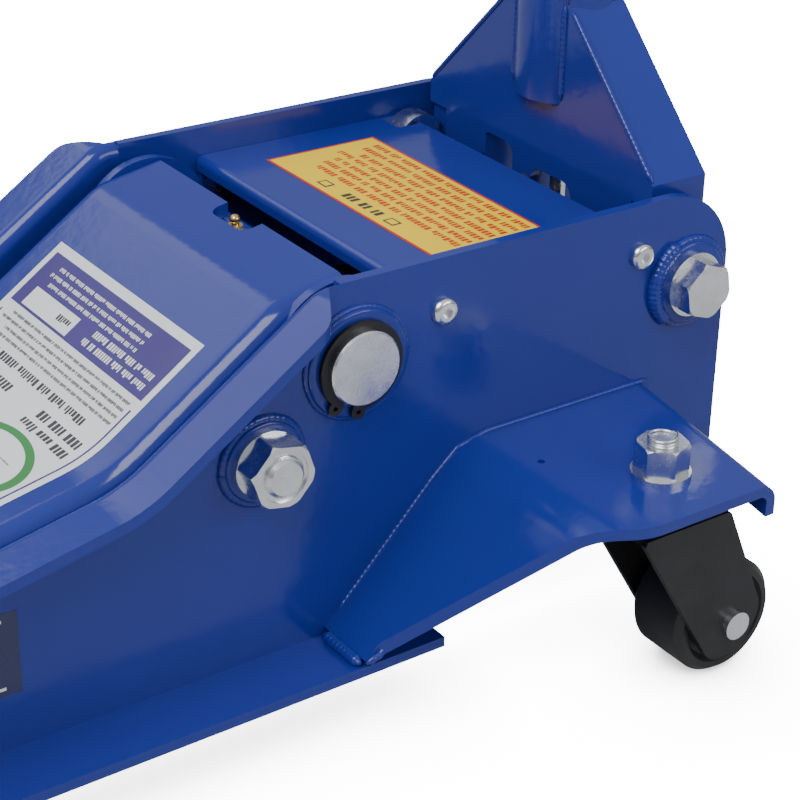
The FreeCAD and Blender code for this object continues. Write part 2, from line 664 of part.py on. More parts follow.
def lift_arm():
    channel = arm_channel()
    save("lift_arm", channel)
    bush_r, bush_l = 18.5, 32.0
    half = ARM_HALF_W + 3
    sleeve = cross_ring(22.0, bush_r, 0, 0, -half, half)
    sleeve = sleeve.cut(cylinder(3.0, V(0, 0, 10), Z, 20))
    save("arm_pivot_tube", sleeve)
    bush = cross_ring(bush_r, SHAFT_R + RUN_GAP, 0, 0, half - bush_l, half)
    save("arm_bushes", *both_sides(bush))

    nipple = cylinder(3.0, V(0, 0, 18.8), Z, 4)
    nipple = nipple.fuse([hexagon(6.0, V(0, 0, 22.1), Z, 2.4), cylinder(1.7, V(0, 0, 24.3), Z, 2.0)])
    ball = Part.makeSphere(2.1, V(0, 0, 26.8))
    save("grease_nipple", nipple.fuse(ball).removeSplitter())

    lugs = []
    for side in (-1, 1):
        y0, y1 = sorted((side * 14.0, side * 22.0))
        down = math.radians(-90 + LEVER_SWING_DEG)
        lug = cross_pin(13.0, LEVER_PIN.x, LEVER_PIN.z, y0, y1)
        lug = lug.fuse(cross_pin(28.0, 0, 0, y0, y1))
        cheek = side_prism([(0, -24, 0), (0, 24, 0), (LEVER_R, 13, 0), (LEVER_R, -13, 0)], y0, y1)
        cheek.rotate(V(0, 0, 0), Y, -math.degrees(down))
        lug = lug.fuse(cheek).removeSplitter()
        lug = lug.cut(cross_pin(22.0, 0, 0, -60, 60))
        lug = lug.cut(cross_pin(LEVER_PIN_R, LEVER_PIN.x, LEVER_PIN.z, -60, 60))
        lug = lug.cut(block(-60, 60, -60, 60, 6, 60))
        lugs.append(lug.cut(channel))
    save("lever_lugs", *lugs)
    pin = cross_pin(LEVER_PIN_R, LEVER_PIN.x, LEVER_PIN.z, -25, 25)
    heads = [cross_pin(10.5, LEVER_PIN.x, LEVER_PIN.z, y, y + 2.5) for y in (-24.7, 22.2)]
    save("lever_pin", pin.fuse(heads).removeSplitter())

    reach = ARM_HALF_W + 4
    front_pin = cross_pin(ARM_PIN_R, ARM_PIN.x, ARM_PIN.z, -reach, reach)
    for y0 in (ARM_HALF_W + 0.2, -ARM_HALF_W - 1.6):
        groove = cross_ring(ARM_PIN_R + 1, ARM_PIN_R * 0.95, ARM_PIN.x, ARM_PIN.z, y0, y0 + 1.4)
        front_pin = front_pin.cut(groove)
    save("arm_front_pin", front_pin)
    save("arm_pin_circlips", *both_sides(circlip(ARM_PIN_R, ARM_PIN.x, ARM_PIN.z, ARM_HALF_W + 0.3, 1.2, 60)))


# ---- the parallel links, saddle bracket and saddle ----------------------------------------
def link_rod(side):
    """One flat tie bar from the chassis stud to the saddle bracket's lower pin."""
    y0, y1 = sorted((side * (LINK_Y - LINK_T / 2), side * (LINK_Y + LINK_T / 2)))
    mid = LINK_STUD
    along = math.degrees(math.atan2(ARM_PIN.z, ARM_PIN.x))
    bar = side_prism([(0, -8, 0), (0, 8, 0), (ARM_LENGTH, 8, 0), (ARM_LENGTH, -8, 0)], y0, y1)
    bar.rotate(V(0, 0, 0), Y, -along)
    bar.translate(mid)
    rod = bar.fuse([cross_pin(12.5, mid.x, mid.z, y0, y1), cross_pin(12.5, BRACKET_PIN.x, BRACKET_PIN.z, y0, y1)])
    rod = rod.removeSplitter()
    rod = rod.cut(cross_pin(LINK_R + RUN_GAP, mid.x, mid.z, -90, 90))
    return rod.cut(cross_pin(8.0 + 0.6, BRACKET_PIN.x, BRACKET_PIN.z, -90, 90))


def saddle_bracket():
    """The welded head on the arm's front pin: two cheeks, a seat plate and a boss."""
    seat_z = SADDLE_TOP - 18
    cheeks = []
    for side in (-1, 1):
        y0, y1 = sorted((side * 42.0, side * 50.0))
        cheek = side_prism(
            [
                (ARM_PIN.x + 15, seat_z, 0), (ARM_PIN.x + 15, ARM_PIN.z - 15, 13.0),
                (BRACKET_PIN.x + 17, BRACKET_PIN.z - 14, 20.0), (BRACKET_PIN.x - 14, BRACKET_PIN.z - 13, 12.0),
                (BRACKET_PIN.x - 13, BRACKET_PIN.z + 16, 10.0), (SADDLE_X - 30, seat_z, 0),
            ],
            y0, y1,
        )
        cheeks.append(cheek)
    seat = block(SADDLE_X - 31, ARM_PIN.x + 15, -50, 50, seat_z, seat_z + 6)
    boss = cylinder(19, V(SADDLE_X, 0, seat_z - 18), Z, 20)
    web = block(SADDLE_X - 3, SADDLE_X + 3, -42, 42, seat_z - 18, seat_z)
    shape = cheeks[0].fuse([cheeks[1], seat, boss, web]).removeSplitter()
    shape = shape.cut(cylinder(12.0 + RUN_GAP, V(SADDLE_X, 0, -160), Z, 160))
    shape = shape.cut(cross_pin(ARM_PIN_R + RUN_GAP, ARM_PIN.x, ARM_PIN.z, -60, 60))
    shape = shape.cut(cross_pin(8.0, BRACKET_PIN.x, BRACKET_PIN.z, -60, 60))
    return shape


def saddle():
    """The cast saddle: a dished disc with four raised pads round a central stem."""
    seat_z = SADDLE_TOP - 12
    profile = [
        (0, -24), (12, -24), (12, 0.4), (30, 0.4), (42, 4), (42, 8), (36, 8), (33, 4.8), (0, 4.8),
    ]
    corners = [V(SADDLE_X + r, 0, seat_z + z) for r, z in profile]
    face = Part.Face(Part.makePolygon(corners + corners[:1]))
    dish = face.revolve(V(SADDLE_X, 0, 0), Z, 360)
    pad_ring = tube(42.0, 31.0, V(SADDLE_X, 0, seat_z + 4), Z, 8)
    pads = []
    for i in range(4):
        wedge = block(0, 60, -11, 11, seat_z, seat_z + 20)
        wedge.rotate(V(0, 0, 0), Z, 45 + 90 * i)
        wedge.translate(V(SADDLE_X, 0, 0))
        pads.append(pad_ring.common(wedge))
    return dish.fuse(pads).removeSplitter()


def front_end():
    save("link_rod_left", link_rod(-1))
    save("link_rod_right", link_rod(1))
    save("saddle_bracket", saddle_bracket())
    pin = cross_pin(8.0, BRACKET_PIN.x, BRACKET_PIN.z, -68, 68)
    heads = [cross_pin(11.0, BRACKET_PIN.x, BRACKET_PIN.z, y, y + 3) for y in (-67.6, 64.6)]
    save("bracket_link_pin", pin.fuse(heads).removeSplitter())
    save("saddle", saddle())


# ---- the handle --------------------------------------------------------------------------
def handle_yoke():
    """A U-shaped pressing whose sides fold in at 45 degrees to the welded socket tube."""
    w, top, knee = YOKE_HALF_W, SOCKET_TOP, YOKE_SHOULDER_Z
    inner_top = SOCKET_R - 2
    peak = knee + (w - inner_top)
    half = [(w, WEB_BOTTOM), (w, knee), (inner_top, peak), (inner_top, peak + 30)]
    face = [V(YOKE_FRONT, y, z) for y, z in half] + [V(YOKE_FRONT, -y, z) for y, z in reversed(half)]
    web = Part.Face(Part.makePolygon(face + face[:1])).extrude(X * YOKE_T)
    for y0, y1, notch_top in WEB_NOTCHES:
        gap = block(YOKE_FRONT - 1, YOKE_FRONT + 9, y0, y1, WEB_BOTTOM - 1, notch_top)
        gap = fillet_where(gap, 6.0, lambda e, top=notch_top: e.BoundBox.XLength > 9 and e.BoundBox.ZMin > top - 1)
        web = web.cut(gap)
    slot = block(YOKE_FRONT - 1, YOKE_FRONT + 9, -VALVE_SLOT_HALF, VALVE_SLOT_HALF, WEB_BOTTOM - 1, 14)
    web = web.cut(slot)

    t = YOKE_T
    fold = t * math.tan(math.radians(22.5))
    outline = [(w, -24.0), (w, knee), (inner_top, peak), (inner_top - t * math.sqrt(2), peak),
               (w - t, knee - fold), (w - t, -24.0)]
    corners = [V(YOKE_FRONT, y, z) for y, z in outline]
    sheet = Part.Face(Part.makePolygon(corners + corners[:1])).extrude(X * (YOKE_REAR - YOKE_FRONT + 12))
    ear = side_prism(
        [(YOKE_FRONT, peak + 5, 0), (YOKE_REAR, peak + 5, 0), (YOKE_REAR, 6, 10), (YOKE_PIVOT.x + 16, YOKE_PIVOT.z + 6, 14),
         (YOKE_PIVOT.x + 8, YOKE_PIVOT.z - 16, 12), (YOKE_PIVOT.x - 14, YOKE_PIVOT.z - 14, 12),
         (YOKE_FRONT, 8, 14)],
        -100, 100,
    )
    boss = cross_pin(13.0, YOKE_PIVOT.x, YOKE_PIVOT.z, w - t - 11, w - t)
    body = web.fuse([*both_sides(sheet.common(ear)), *both_sides(boss)])
    socket = cylinder(SOCKET_R, V(SOCKET_X, 0, SOCKET_BOTTOM), Z, top - SOCKET_BOTTOM)
    body = body.fuse(socket)

    roller_arm = side_prism(
        [
            (YOKE_FRONT, 42, 0), (YOKE_FRONT + 12, 42, 0), (YOKE_REAR, 6, 8), (ROLLER.x + 6, PUMP_Z - 7, 5),
            (ROLLER.x - 6, PUMP_Z - 7, 5), (YOKE_FRONT, 14, 0),
        ],
        PUMP_Y + 10.8, PUMP_Y + 15.2,
    )
    inner_arm = roller_arm.copy()
    inner_arm.translate(V(0, -26.0, 0))
    body = body.fuse([roller_arm, inner_arm]).removeSplitter()
    body = body.cut(cylinder(SOCKET_BORE_R, V(SOCKET_X, 0, SOCKET_BOTTOM), Z, 400))
    body = body.cut(cross_pin(YOKE_BOLT_R + RUN_GAP, YOKE_PIVOT.x, YOKE_PIVOT.z, -100, 100))
    body = body.cut(cross_pin(2.5, ROLLER.x, ROLLER.z, PUMP_Y - 20, PUMP_Y + 20))
    stop_room = block(YOKE_FRONT - 9, STOP_X + STOP_R + 1, STOP_INNER_Y - 3, 90, -20, SCREW_Z + STOP_R + 2)
    for room in both_sides(stop_room):
        body = body.cut(room)
    body = body.cut(cylinder(4.0, V(SOCKET_X, 0, top - 25), X, 60))
    return body


def handle():
    save("handle_yoke", handle_yoke())
    roller = cross_ring(ROLLER_R, 2.5, ROLLER.x, ROLLER.z, PUMP_Y - 10, PUMP_Y + 10)
    pin = cross_pin(2.5, ROLLER.x, ROLLER.z, PUMP_Y - 15.2, PUMP_Y + 15.2)
    save("yoke_roller", roller, pin)
    bolt_z = SOCKET_TOP - 25
    shank = cylinder(4.0, V(SOCKET_X + HANDLE_R + 0.3, 0, bolt_z), X, 12)
    bolt = shank.fuse(hexagon(13, V(SOCKET_X + SOCKET_R + 1, 0, bolt_z), X, 7)).removeSplitter()
    save("clamp_bolt", bolt)

    lower = tube(HANDLE_R, HANDLE_R - HANDLE_T, V(SOCKET_X, 0, HANDLE_BOTTOM), Z, HANDLE_JOINT - HANDLE_BOTTOM)
    save("handle_lower", lower)
    neck_r = HANDLE_R - HANDLE_T
    upper = tube(HANDLE_R, neck_r, V(SOCKET_X, 0, HANDLE_JOINT + 1), Z, HANDLE_TOP - HANDLE_JOINT - 4)
    neck = tube(neck_r, neck_r - HANDLE_T, V(SOCKET_X, 0, HANDLE_JOINT - 55), Z, 75)
    save("handle_upper", upper.fuse(neck).removeSplitter())
    grip = cylinder(HANDLE_R + 4, V(SOCKET_X, 0, HANDLE_TOP - 130), Z, 133)
    grip = grip.makeFillet(3.5, [e for e in grip.Edges if isinstance(e.Curve, Part.Circle)])
    grip = grip.cut(cylinder(HANDLE_R, V(SOCKET_X, 0, HANDLE_TOP - 140), Z, 137))
    save("handle_grip", grip)

    knuckle_z = YOKE_PIVOT.z
    spider = Part.makeSphere(4.2, V(SOCKET_X, 0, knuckle_z))
    stem = cylinder(3.5, V(SOCKET_X, 0, knuckle_z), Z, HANDLE_BOTTOM - knuckle_z + 3)
    disc = cylinder(HANDLE_R - HANDLE_T, V(SOCKET_X, 0, HANDLE_BOTTOM), Z, 6)
    save("release_coupling", spider.fuse([stem, disc]).removeSplitter())


# ---- wheels and casters ------------------------------------------------------------------
def front_wheel(side):
    """A cast wheel with a rounded tread, dished faces and a long hub."""
    half = WHEEL_W / 2
    middle = WHEEL_IN + half
    profile = [
        (AXLE_R + RUN_GAP, -half - 0.5), (17, -half - 0.5), (18, -8), (30, -8), (33, -half), (38, -half), (WHEEL_R, -half + 4),
        (WHEEL_R, half - 4), (38, half), (33, half), (30, 8), (18, 8), (17, half + 0.5), (AXLE_R + RUN_GAP, half + 0.5),
    ]
    corners = [V(AXLE_X, side * (middle + y), AXLE_Z + r) for r, y in profile]
    face = Part.Face(Part.makePolygon(corners + corners[:1]))
    return face.revolve(V(AXLE_X, 0, AXLE_Z), Y, 360)


def caster(side):
    """The parts of one swivel caster, as (fork, wheel, axle pin)."""
    y = side * CASTER_Y
    top_z = SHELF_Z - SHELF_T - 9.5
    wheel_x = CASTER_X + CASTER_TRAIL
    plate = cylinder(19.0, V(CASTER_X, y, top_z - 3), Z, 3)
    fork = plate
    for cheek_side in (-1, 1):
        y0, y1 = sorted((y + cheek_side * FORK_INNER, y + cheek_side * FORK_OUTER))
        cheek = side_prism(
            [(CASTER_X - 24, top_z, 2), (CASTER_X + 21, top_z, 2), (wheel_x + 15, CASTER_PIN_Z + 3, 13),
             (wheel_x + 6, CASTER_PIN_Z - 15, 12), (wheel_x - 11, CASTER_PIN_Z - 15, 11)],
            y0, y1,
        )
        fork = fork.fuse(cheek)
    bridge = block(CASTER_X - 22, CASTER_X + 19, y - FORK_OUTER, y + FORK_OUTER, top_z - 3, top_z)
    fork = fork.fuse(bridge).removeSplitter()
    fork = fork.cut(cylinder(6.0 + RUN_GAP, V(CASTER_X, y, top_z - 10), Z, 20))
    fork = fork.cut(cross_pin(4.0, wheel_x, CASTER_PIN_Z, y - 30, y + 30))

    half = CASTER_WHEEL_W / 2
    r = CASTER_WHEEL_R
    profile = [
        (4 + RUN_GAP, -half - 1), (8, -half - 1), (9, -half + 3), (r - 7, -half + 3), (r - 5, -half), (r - 2.5, -half),
        (r, -half + 3), (r, half - 3), (r - 2.5, half), (r - 5, half), (r - 7, half - 3), (9, half - 3), (8, half + 1),
        (4 + RUN_GAP, half + 1),
    ]
    corners = [V(wheel_x, y + dy, CASTER_PIN_Z + rr) for rr, dy in profile]
    wheel = Part.Face(Part.makePolygon(corners + corners[:1])).revolve(V(wheel_x, y, CASTER_PIN_Z), Y, 360)

    pin = cross_pin(4.0, wheel_x, CASTER_PIN_Z, y - FORK_OUTER, y + FORK_OUTER)
    for head_y in (y - FORK_OUTER - 3, y + FORK_OUTER):
        head = cross_pin(6.1, wheel_x, CASTER_PIN_Z, head_y, head_y + 3)
        pin = pin.fuse(head)
    return fork, wheel, pin.removeSplitter()


def running_gear():
    for side, name in ((-1, "left"), (1, "right")):
        save(f"front_wheel_{name}", front_wheel(side))
        fork, wheel, pin = caster(side)
        save(f"caster_fork_{name}", fork)
        save(f"caster_wheel_{name}", wheel)
        save(f"caster_axle_{name}", pin)

    races, fasteners = [], []
    for side in (-1, 1):
        y = side * CASTER_Y
        under = SHELF_Z - SHELF_T
        race = cylinder(20.0, V(CASTER_X, y, under - 9), Z, 9)
        race = race.makeFillet(3.0, [e for e in race.Edges if e.BoundBox.ZMax < under - 8.9])
        races.append(race.cut(cylinder(6.0, V(CASTER_X, y, under - 20), Z, 40)))
        kingpin = cylinder(6.0, V(CASTER_X, y, under - 16), Z, 16 + SHELF_T + 15.5)
        kingpin = kingpin.makeChamfer(1.0, [e for e in kingpin.Edges if e.BoundBox.ZMin > SHELF_Z + 15])
        button = cylinder(9.0, V(CASTER_X, y, under - 17), Z, 4.0)
        washer = tube(12.0, 6.0, V(CASTER_X, y, SHELF_Z), Z, 2.2)
        nut = hexagon(19, V(CASTER_X, y, SHELF_Z + 2.2), Z, 12, 18)
        nut = nut.cut(cylinder(6.0, V(CASTER_X, y, SHELF_Z), Z, 30))
        fasteners += [kingpin.fuse(button).removeSplitter(), washer, nut]
    save("caster_races", *races)
    save("caster_fasteners", *fasteners)


os.makedirs("parts", exist_ok=True)
chassis()
main_shaft()
link_studs()
yoke_bolts()
cover()
power_unit()
hand_pump()
lift_arm()
front_end()
handle()
running_gear()
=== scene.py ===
import bpy
import json
import math
import random
from mathutils import Matrix, Vector
from mathutils.bvhtree import BVHTree


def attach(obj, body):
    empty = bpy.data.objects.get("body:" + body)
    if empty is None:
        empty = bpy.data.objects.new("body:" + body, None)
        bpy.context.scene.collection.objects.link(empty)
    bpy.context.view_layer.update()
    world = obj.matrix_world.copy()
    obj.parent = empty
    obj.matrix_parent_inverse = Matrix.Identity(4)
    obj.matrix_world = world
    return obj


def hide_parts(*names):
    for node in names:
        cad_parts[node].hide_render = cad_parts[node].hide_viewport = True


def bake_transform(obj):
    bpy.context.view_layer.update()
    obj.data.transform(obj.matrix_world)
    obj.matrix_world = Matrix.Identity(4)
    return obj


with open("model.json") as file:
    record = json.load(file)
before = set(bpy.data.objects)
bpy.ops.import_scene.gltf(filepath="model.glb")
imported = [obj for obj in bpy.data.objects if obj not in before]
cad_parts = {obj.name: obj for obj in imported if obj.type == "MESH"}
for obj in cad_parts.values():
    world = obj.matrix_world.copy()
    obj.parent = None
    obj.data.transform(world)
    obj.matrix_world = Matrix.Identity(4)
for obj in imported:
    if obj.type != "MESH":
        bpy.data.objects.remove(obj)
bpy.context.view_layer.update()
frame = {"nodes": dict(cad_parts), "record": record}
NODES = frame["nodes"]

# ---- places: the CAD source's local millimetres, from the lift arm's pivot -----------------
PIVOT = Vector((0.134, 0.0, 0.140))
MM = 0.001
LINK_STUD = (-41.0, -29.0)  # x and z
YOKE_PIVOT = (164.5, -6.0)
PLATE_FACE = 86.1
SPRING_Y = 46


def at(x, y, z):
    """A point given in local millimetres, in the row frame's metres."""
    return PIVOT + Vector((x, y, z)) * MM


# ---- materials ------------------------------------------------------------------------------
COAT_ROUGHNESS = 0.05


def node_material(
    name, colour, metallic=0.0, roughness=0.4, coat=0.0, mottle=0.06, mottle_size=0.05,
    rough_spread=0.06, bump=0.0, bump_size=0.004, bump_depth=0.0002,
):
    """A principled material whose colour, roughness and surface vary by procedural noise."""
    made = bpy.data.materials.new(name)
    made.use_nodes = True
    tree = made.node_tree
    shader = tree.nodes["Principled BSDF"]
    shader.inputs["Metallic"].default_value = metallic
    shader.inputs["Coat Weight"].default_value = coat
    shader.inputs["Coat Roughness"].default_value = COAT_ROUGHNESS
    place = tree.nodes.new("ShaderNodeTexCoord")

    def noise(size, detail=3.0):
        grain = tree.nodes.new("ShaderNodeTexNoise")
        grain.inputs["Scale"].default_value = 1.0 / size
        grain.inputs["Detail"].default_value = detail
        tree.links.new(place.outputs["Object"], grain.inputs["Vector"])
        return grain

    def ranged(source, low, high, start=0.3, end=0.7):
        spread = tree.nodes.new("ShaderNodeMapRange")
        spread.inputs["From Min"].default_value = start
        spread.inputs["From Max"].default_value = end
        spread.inputs["To Min"].default_value = low
        spread.inputs["To Max"].default_value = high
        tree.links.new(source.outputs[0], spread.inputs["Value"])
        return spread

    mix = tree.nodes.new("ShaderNodeMix")
    mix.data_type = "RGBA"
    mix.inputs["A"].default_value = (*[c * (1 - mottle) for c in colour], 1)
    mix.inputs["B"].default_value = (*[min(1.0, c * (1 + mottle)) for c in colour], 1)
    tree.links.new(ranged(noise(mottle_size), 0.0, 1.0).outputs[0], mix.inputs["Factor"])
    tree.links.new(mix.outputs["Result"], shader.inputs["Base Color"])
    low, high = max(0.02, roughness - rough_spread), roughness + rough_spread
    tree.links.new(ranged(noise(mottle_size * 0.4), low, high).outputs[0], shader.inputs["Roughness"])
    if bump:
        lift = tree.nodes.new("ShaderNodeBump")
        lift.inputs["Strength"].default_value = bump
        lift.inputs["Distance"].default_value = bump_depth
        tree.links.new(noise(bump_size, 1.5).outputs[0], lift.inputs["Height"])
        tree.links.new(lift.outputs["Normal"], shader.inputs["Normal"])
    return made


BLUE = (0.0135, 0.0285, 0.262)
MATERIALS = {
    "blue_paint": node_material("blue_paint", BLUE, roughness=0.16, mottle=0.05, mottle_size=0.09,
                                rough_spread=0.04, bump=0.30, bump_size=0.0045, bump_depth=0.0003),
    "handle_paint": node_material("handle_paint", BLUE, roughness=0.18, mottle=0.05, bump=0.25,
                                  bump_size=0.004, bump_depth=0.0003),
    "zinc": node_material("zinc", (0.80, 0.81, 0.82), metallic=1.0, roughness=0.24, mottle=0.08,
                          mottle_size=0.012, rough_spread=0.07, bump=0.12, bump_size=0.0012,
                          bump_depth=0.0002),
    "black_oxide": node_material("black_oxide", (0.022, 0.022, 0.024), metallic=0.35, roughness=0.36,
                                 mottle=0.2, mottle_size=0.02, bump=0.2, bump_size=0.002,
                                 bump_depth=0.0002),
    "black_casting": node_material("black_casting", (0.024, 0.024, 0.026), roughness=0.46, mottle=0.2,
                                   mottle_size=0.03, bump=0.5, bump_size=0.0022, bump_depth=0.0004),
    "ground_steel": node_material("ground_steel", (0.56, 0.57, 0.59), metallic=1.0, roughness=0.22,
                                  mottle=0.06, mottle_size=0.01, bump=0.1, bump_size=0.001,
                                  bump_depth=0.0001),
    "bronze": node_material("bronze", (0.45, 0.28, 0.12), metallic=1.0, roughness=0.38, mottle=0.12,
                            mottle_size=0.01, bump=0.25, bump_size=0.001, bump_depth=0.0001),
    "brass": node_material("brass", (0.72, 0.50, 0.20), metallic=1.0, roughness=0.24, mottle=0.06,
                           mottle_size=0.01),
    "wheel_black": node_material("wheel_black", (0.018, 0.018, 0.019), roughness=0.42, mottle=0.15,
                                 mottle_size=0.02, bump=0.2, bump_size=0.002, bump_depth=0.0002),
    "wheel_iron": node_material("wheel_iron", (0.03, 0.03, 0.032), roughness=0.4, coat=0.2, mottle=0.15,
                                mottle_size=0.03, bump=0.4, bump_size=0.0028, bump_depth=0.0004),
    "seal_rubber": node_material("seal_rubber", (0.016, 0.016, 0.016), roughness=0.7, mottle=0.1,
                                 mottle_size=0.01),
    "grip_rubber": node_material("grip_rubber", (0.02, 0.02, 0.021), roughness=0.62, mottle=0.15,
                                 mottle_size=0.02, bump=0.4, bump_size=0.0012, bump_depth=0.0002),
}
PRINTS = {
    "print_white": node_material("print_white", (0.80, 0.81, 0.83), roughness=0.4, mottle=0.02),
    "print_purple": node_material("print_purple", (0.040, 0.022, 0.20), roughness=0.4, coat=0.1, mottle=0.04),
    "print_grey": node_material("print_grey", (0.030, 0.030, 0.034), roughness=0.45, coat=0.1, mottle=0.04),
    "print_green": node_material("print_green", (0.035, 0.24, 0.055), roughness=0.4, coat=0.1, mottle=0.04),
    "print_yellow": node_material("print_yellow", (1.0, 0.66, 0.0), roughness=0.42, mottle=0.02),
    "print_red": node_material("print_red", (0.62, 0.03, 0.0), roughness=0.42, mottle=0.04),
    "print_navy": node_material("print_navy", (0.012, 0.018, 0.09), roughness=0.28, coat=0.4, mottle=0.04),
}
SLOT_OF = {s["node"]: s["material_slot"] for s in frame["record"]["subparts"]}
for node_name, node in NODES.items():
    node.data.materials.clear()
    node.data.materials.append(MATERIALS[SLOT_OF[node_name]])


# ---- mesh helpers ---------------------------------------------------------------------------
def mesh_object(name, verts, faces, materials, indices=None):
    """A smooth-shaded mesh object; indices give each face its material."""
    mesh = bpy.data.meshes.new(name)
    mesh.from_pydata([tuple(v) for v in verts], [], faces)
    for entry in materials:
        mesh.materials.append(entry)
    if indices:
        mesh.polygons.foreach_set("material_index", indices)
    mesh.polygons.foreach_set("use_smooth", [True] * len(mesh.polygons))
    mesh.update()
    made = bpy.data.objects.new(name, mesh)
    bpy.context.scene.collection.objects.link(made)
    return made


def swept(points, radii, sides, closed=False):
    """A round bar along points (metres). Returns (vertices, faces)."""
    verts, faces = [], []
    count = len(points)
    normal = None
    for i, point in enumerate(points):
        before = points[i - 1] if (i or closed) else point
        after = points[(i + 1) % count] if (i < count - 1 or closed) else point
        along = (after - before).normalized()
        if normal is None:
            normal = along.orthogonal().normalized()
        normal = (normal - along * normal.dot(along)).normalized()
        other = along.cross(normal)
        for k in range(sides):
            turn = 2 * math.pi * k / sides
            verts.append(point + (normal * math.cos(turn) + other * math.sin(turn)) * radii[i])
    rings = count if closed else count - 1
    for i in range(rings):
        j = (i + 1) % count
        for k in range(sides):
            m = (k + 1) % sides
            faces.append((i * sides + k, i * sides + m, j * sides + m, j * sides + k))
    if not closed:
        faces.append(tuple(range(sides))[::-1])
        faces.append(tuple((count - 1) * sides + k for k in range(sides)))
    return verts, faces


def joined(name, shapes, materials):
    """One object from several (vertices, faces) shells."""
    verts, faces = [], []
    for shell_verts, shell_faces in shapes:
        base = len(verts)
        verts += shell_verts
        faces += [tuple(base + i for i in f) for f in shell_faces]
    return mesh_object(name, verts, faces, materials)


def resampled(points, step):
    """The same path with a point every step metres."""
    dense = []
    for a, b in zip(points, points[1:]):
        pieces = max(1, round((b - a).length / step))
        dense += [a.lerp(b, i / pieces) for i in range(pieces)]
    return [*dense, points[-1]]


def bead(points, radius, closed=False, seed=1):
    """A weld bead: a bar with overlapping ripples and a slightly uneven width."""
    rng = random.Random(seed)
    path = resampled([*points, points[0]] if closed else points, 0.0005)
    if closed:
        path = path[:-1]
    radii = []
    drift = 0.0
    for i in range(len(path)):
        drift = 0.96 * drift + rng.uniform(-0.012, 0.012)
        ripple = 0.10 * abs(math.sin(math.pi * i * 0.5 / 2.4))
        end = min(1.0, 0.35 + 0.12 * min(i, len(path) - 1 - i)) if not closed else 1.0
        radii.append(radius * end * (0.93 + ripple + drift))
    return swept(path, radii, 8, closed)


def circle(centre, radius, normal_axis, steps=72, start=0.0, end=360.0):
    """Points of a circle, or of an arc in degrees, about the y or the z axis."""
    points = []
    for i in range(steps + (0 if end - start >= 360 else 1)):
        turn = math.radians(start + (end - start) * i / steps)
        c, s = radius * MM * math.cos(turn), radius * MM * math.sin(turn)
        points.append(centre + Vector((c, 0, s) if normal_axis == "y" else (c, s, 0)))
    return points


def helix(start, end, radius, pitch):
    """Points of a coil between two points."""
    axis = (end - start).normalized()
    length = (end - start).length
    side = axis.orthogonal().normalized()
    other = axis.cross(side)
    turns = length / pitch
    steps = int(turns * 20)
    points = []
    for i in range(steps + 1):
        share = i / steps
        turn = 2 * math.pi * turns * share
        spoke = side * math.cos(turn) + other * math.sin(turn)
        points.append(start + axis * (length * share) + spoke * radius)
    return points


# ---- coils ----------------------------------------------------------------------------------
coils = []
for y in (-SPRING_Y, SPRING_Y):
    front, back = at(30.0, y, -70), at(94.0, y, -70)
    path = helix(back, front, 0.0048, 0.0032)
    coils.append(swept(path, [0.0011] * len(path), 8))
return_coils = joined("return_coils", coils, [MATERIALS["black_oxide"]])
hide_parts("return_springs")
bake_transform(return_coils)

PUMP_Y, PUMP_Z = 24.0, -22.04
path = helix(at(140.8, PUMP_Y, PUMP_Z), at(161.0, PUMP_Y, PUMP_Z), 0.0080, 0.0042)
pump_coil = joined("pump_coil", [swept(path, [0.0009] * len(path), 8)], [MATERIALS["black_oxide"]])
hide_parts("pump_spring")
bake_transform(pump_coil)


# ---- threads --------------------------------------------------------------------------------
def thread(name, body, runs, slot_name="zinc"):
    """Helical ridges on bolt ends. Each run is (start, end, nominal radius mm, pitch mm)."""
    shells = []
    for start, end, radius, pitch in runs:
        path = helix(start, end, (radius - 0.1) * MM, pitch * MM)
        shells.append(swept(path, [0.32 * pitch * MM] * len(path), 6))
    made = joined(name, shells, [MATERIALS[slot_name]])
    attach(made, body)
    return made


runs = []
for side in (-1, 1):
    stud_x, stud_z = LINK_STUD
    runs.append((at(stud_x, side * 101.2, stud_z), at(stud_x, side * 102.2, stud_z), 8.0, 1.5))
    runs.append((at(97.5, side * 151, -47 + 14.6), at(97.5, side * 151, -47 + 17.4), 5.9, 1.5))
    runs.append((at(-420, side * 141.8, -100), at(-420, side * 142.6, -100), 9.8, 2.0))
thread("bolt_threads", "frame", runs)

# ---- weld beads -----------------------------------------------------------------------------
frame_beads = []
for side in (-1, 1):
    y = side * PLATE_FACE
    rings = ((0, 0, 22.2, 1.3, 9), (*LINK_STUD, 16.8, 1.9, 3), (*YOKE_PIVOT, 18.4, 2.0, 5))
    for x, z, radius, width, seed in rings:
        frame_beads.append(bead(circle(at(x, y, z), radius, "y"), width * MM, True, seed=seed))
    blob = circle(at(YOKE_PIVOT[0], side * 86.8, YOKE_PIVOT[1]), 18.6, "y", 30, 110, 235)
    frame_beads.append(bead(blob, 0.0034, seed=11))
    blob = circle(at(LINK_STUD[0], side * 86.3, LINK_STUD[1]), 17.0, "y", 24, 175, 290)
    frame_beads.append(bead(blob, 0.0021, seed=12))
    shelf_edge = ((146, -46.8), (62, -46.8), (48, -50.0), (36, -60.5), (-8, -106.5))
    frame_beads.append(bead([at(x, side * 86.3, z) for x, z in shelf_edge], 0.0012, seed=4))
    foot = [at(-15.2, side * y_at, -113.4) for y_at in (88, 96, 104, 113)]
    frame_beads.append(bead(foot, 0.0026, seed=6))
    edge = [at(-14.0, side * 115.2, -112.6), at(-8.0, side * 115.4, -110.6), at(-3.0, side * 115.2, -107)]
    frame_beads.append(bead(edge, 0.0016, seed=8))
chassis_welds = joined("chassis_welds", frame_beads, [MATERIALS["blue_paint"]])
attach(chassis_welds, "frame")

